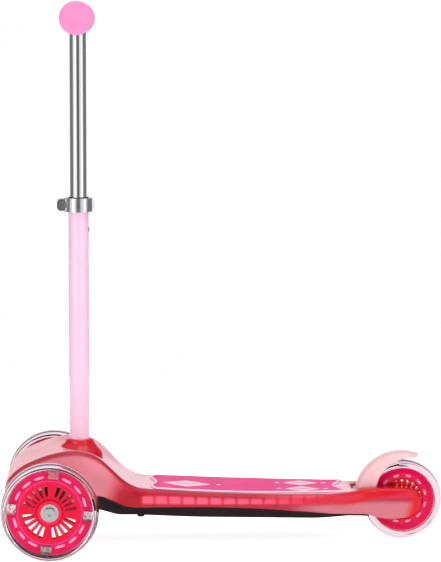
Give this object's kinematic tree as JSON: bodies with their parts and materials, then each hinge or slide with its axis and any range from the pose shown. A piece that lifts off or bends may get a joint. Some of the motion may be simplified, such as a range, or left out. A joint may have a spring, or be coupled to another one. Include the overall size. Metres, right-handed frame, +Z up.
{
  "type": "kick scooter",
  "caption": "Child's three-wheeled lean-to-steer kick scooter with a low deck, wheels that light up, a rear foot brake and a height-adjustable T handlebar.",
  "frame": {"origin": "on the floor, in the middle of the scooter's bounding box", "axes": "+Z up, -X the way the scooter rides, -Y its left side"},
  "size_m": [0.555, 0.264, 0.6785],
  "materials": {
    "shell": "translucent red shell, glossy",
    "base": "black tray, fine grain",
    "pad": "hot pink grip pad with a pale border",
    "collar": "translucent deep red",
    "painted_tube": "pale pink gloss paint",
    "chrome": "polished chrome plate",
    "clamp_alloy": "polished and lacquered",
    "steel": "zinc plated",
    "spring_steel": "spring wire",
    "nylon": "moulded nylon",
    "grip": "soft pink rubber",
    "clear_tyre": "clear cast polyurethane",
    "hub": "magenta translucent plastic",
    "light": "clear light block",
    "coil": "wound coil in resin",
    "magnet": "nickelled magnet",
    "fender": "pale pink translucent plastic",
    "brake_rubber": "brake pad"
  },
  "bodies": {
    "deck": {"deck_shell": "shell", "deck_base": "base", "deck_screws": "steel", "grip_pad": "pad", "stem_socket": "nylon", "socket_screws": "steel", "stem_collar": "collar", "lower_tube": "painted_tube", "tube_bushing": "nylon", "stem_plug": "nylon", "stem_bolt": "steel", "clamp_band": "clamp_alloy", "clamp_bolt": "steel", "clamp_nut": "steel", "clamp_pin": "steel", "steering_truck": "nylon", "truck_screws": "steel", "kingpin_nuts": "steel", "kingpin_left": "steel", "kingpin_right": "steel", "centring_spring_left": "spring_steel", "centring_spring_right": "spring_steel", "rear_spacer": "steel", "rear_axle": "steel", "axle_sleeves": "nylon", "fender_pin": "steel", "fender_spring": "spring_steel"},
    "left_arm": {"steering_arm_left": "nylon", "kingpin_bushes_left": "nylon", "front_axle_left": "steel", "magnet_spacer_left": "magnet"},
    "right_arm": {"steering_arm_right": "nylon", "kingpin_bushes_right": "nylon", "front_axle_right": "steel", "magnet_spacer_right": "magnet"},
    "left_wheel": {"front_hub_left": "hub", "front_tyre_left": "clear_tyre", "front_lights_left": "light", "front_bearings_left": "steel", "coil_ring_left": "coil"},
    "right_wheel": {"front_hub_right": "hub", "front_tyre_right": "clear_tyre", "front_lights_right": "light", "front_bearings_right": "steel", "coil_ring_right": "coil"},
    "tie_rod": {"tie_rod": "steel", "tie_rod_pins": "steel"},
    "rear_wheel": {"rear_hub": "hub", "rear_tyre": "clear_tyre", "rear_bearings": "steel"},
    "brake": {"brake_fender": "fender", "brake_pad": "brake_rubber"},
    "handlebar": {"upper_tube": "chrome", "crossbar": "chrome", "grip_left": "grip", "grip_right": "grip"},
    "clamp_lever": {"clamp_lever": "clamp_alloy"}
  },
  "joints": [
    {"name": "left_steer", "type": "hinge", "parent": "deck", "child": "left_arm", "pos_m": [-0.2175, -0.038, 0.06], "axis": [-0.5736, 0, 0.8192], "range_deg": [-15, 15], "stiffness_Nm_per_rad": 40},
    {"name": "right_steer", "type": "hinge", "parent": "deck", "child": "right_arm", "pos_m": [-0.2175, 0.038, 0.06], "axis": [-0.5736, 0, 0.8192], "range_deg": [-15, 15]},
    {"name": "tie_rod_slide", "type": "slide", "parent": "deck", "child": "tie_rod", "axis": [0, 1, 0], "range_m": [-0.0072, 0.0072], "deforming": ["centring_spring_left", "centring_spring_right"]},
    {"name": "left_wheel_spin", "type": "hinge", "parent": "left_arm", "child": "left_wheel", "pos_m": [-0.2175, -0.118, 0.06], "axis": [0, 1, 0], "continuous": true},
    {"name": "right_wheel_spin", "type": "hinge", "parent": "right_arm", "child": "right_wheel", "pos_m": [-0.2175, 0.118, 0.06], "axis": [0, 1, 0], "continuous": true},
    {"name": "rear_wheel_spin", "type": "hinge", "parent": "deck", "child": "rear_wheel", "pos_m": [0.2275, 0, 0.05], "axis": [0, 1, 0], "continuous": true},
    {"name": "brake_press", "type": "hinge", "parent": "deck", "child": "brake", "pos_m": [0.1675, 0, 0.061], "axis": [0, 1, 0], "range_deg": [0, 2.8], "stiffness_Nm_per_rad": 1.5, "springref_deg": -11.46, "deforming": ["fender_spring"]},
    {"name": "bar_height", "type": "slide", "parent": "deck", "child": "handlebar", "axis": [0, 0, 1], "range_m": [-0.12, 0.03]},
    {"name": "lever_swing", "type": "hinge", "parent": "deck", "child": "clamp_lever", "pos_m": [-0.2038, 0.012, 0.425], "axis": [0, 0, 1], "range_deg": [0, 105]}
  ],
  "couplings": [
    {"joint": "right_steer", "follows": "left_steer", "ratio": 1},
    {"joint": "tie_rod_slide", "follows": "left_steer", "m_per_rad": 0.0268}
  ]
}
